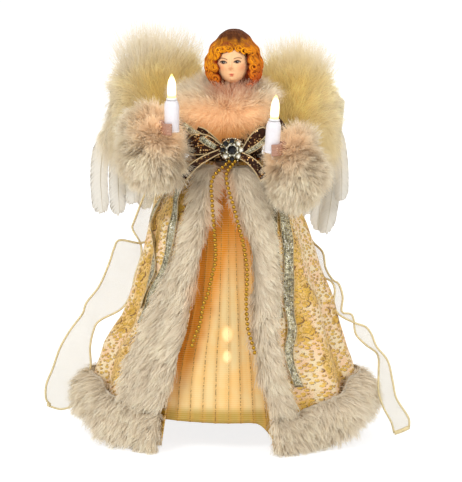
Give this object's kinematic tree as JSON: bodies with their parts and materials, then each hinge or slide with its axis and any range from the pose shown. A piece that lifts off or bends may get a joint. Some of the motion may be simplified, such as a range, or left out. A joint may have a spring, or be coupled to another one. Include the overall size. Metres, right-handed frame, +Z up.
{
  "type": "angel tree topper",
  "caption": "Doll angel with feathered wings, a fur trimmed brocade coat and lit candles in its hands, on a hollow cone that slips over the tip of a tree.",
  "frame": {"origin": "centre of the bounding box in plan, at the level that the fur hem stands on", "axes": "+Z up along the cone, the angel looks along -Y, +X to the right of a viewer who faces the angel"},
  "size_m": [0.2693, 0.1693, 0.305],
  "materials": {
    "card": "matt cream card",
    "foam": "plain white foam",
    "velvet": "dark brown velvet with fine gold printed scrolls",
    "satin": "dark brown velvet ribbon with wired gold edges",
    "painted_resin": "gloss painted face and auburn moulded hair",
    "fur": "long soft ivory fur",
    "lit_organza": "pleated gold organza, lit from inside",
    "brocade": "peach cream brocade with metallic gold leaf scrolls",
    "metallic_mesh": "open silver green mesh ribbon with a dotted edge",
    "brooch_metal": "blackened metal set with small clear and black stones",
    "brooch_stone": "faceted black stone",
    "gold_bead": "polished gold",
    "sheer_organza": "sheer cream organza with gold corded edges",
    "lead_cover": "white flexible lead",
    "steel_wire": "bent steel wire",
    "painted_hand": "painted flesh tone",
    "white_plastic": "white moulded plastic",
    "bulb_glass": "clear warm white mini bulb, lit",
    "feather": "white goose quills and marabou fluff"
  },
  "bodies": {
    "angel": {"support_cone": "card", "torso": "foam", "bodice": "velvet", "waist_sash": "satin", "head": "painted_resin", "fur_collar": "fur", "underskirt": "lit_organza", "coat_left_panel": "brocade", "coat_back_panel": "brocade", "coat_right_panel": "brocade", "fur_hem_left": "fur", "fur_hem_back": "fur", "fur_hem_right": "fur", "fur_strip_left": "fur", "fur_strip_right": "fur", "bow_knot": "satin", "bow_loop_left": "satin", "bow_loop_right": "satin", "bow_tail_left": "satin", "bow_tail_right": "satin", "mesh_ribbon_left_outer": "metallic_mesh", "mesh_ribbon_left_inner": "metallic_mesh", "mesh_ribbon_right_inner": "metallic_mesh", "mesh_ribbon_right_outer": "metallic_mesh", "brooch_setting": "brooch_metal", "brooch_stone": "brooch_stone", "bead_strand_left": "gold_bead", "bead_strand_right": "gold_bead", "sash_knot": "sheer_organza", "streamer_left": "sheer_organza", "streamer_right": "sheer_organza", "light_string": "lead_cover", "wing_bridge": "steel_wire"},
    "arm_left": {"arm_wire_left": "steel_wire", "sleeve_left": "velvet", "fur_cuff_left": "fur", "hand_left": "painted_hand", "candle_lead_left": "lead_cover", "candle_socket_left": "white_plastic"},
    "arm_right": {"arm_wire_right": "steel_wire", "sleeve_right": "velvet", "fur_cuff_right": "fur", "hand_right": "painted_hand", "candle_lead_right": "lead_cover", "candle_socket_right": "white_plastic"},
    "bulb_left": {"bulb_base_left": "white_plastic", "bulb_glass_left": "bulb_glass"},
    "bulb_right": {"bulb_base_right": "white_plastic", "bulb_glass_right": "bulb_glass"},
    "wing_left": {"wing_base_left": "card", "wing_marabou_left": "feather", "quill_left_1": "feather", "quill_left_2": "feather", "quill_left_3": "feather"},
    "wing_right": {"wing_base_right": "card", "wing_marabou_right": "feather", "quill_right_1": "feather", "quill_right_2": "feather", "quill_right_3": "feather"}
  },
  "joints": [
    {"name": "arm_bend_left", "type": "hinge", "parent": "angel", "child": "arm_left", "pos_m": [-0.0307, 0.0003, 0.229], "axis": [0, 0, 1], "range_deg": [-20, 3]},
    {"name": "arm_bend_right", "type": "hinge", "parent": "angel", "child": "arm_right", "pos_m": [0.0307, 0.0003, 0.229], "axis": [0, 0, 1], "range_deg": [-3, 20]},
    {"name": "bulb_pull_left", "type": "slide", "parent": "arm_left", "child": "bulb_left", "axis": [0, 0, 1], "range_m": [0, 0.012]},
    {"name": "bulb_pull_right", "type": "slide", "parent": "arm_right", "child": "bulb_right", "axis": [0.0767, 0, 0.9971], "range_m": [0, 0.012]},
    {"name": "wing_fold_left", "type": "hinge", "parent": "angel", "child": "wing_left", "pos_m": [-0.008, 0.042, 0.233], "axis": [0, 0, 1], "range_deg": [-20, 10]},
    {"name": "wing_fold_right", "type": "hinge", "parent": "angel", "child": "wing_right", "pos_m": [0.008, 0.042, 0.233], "axis": [0, 0, 1], "range_deg": [-10, 20]}
  ]
}
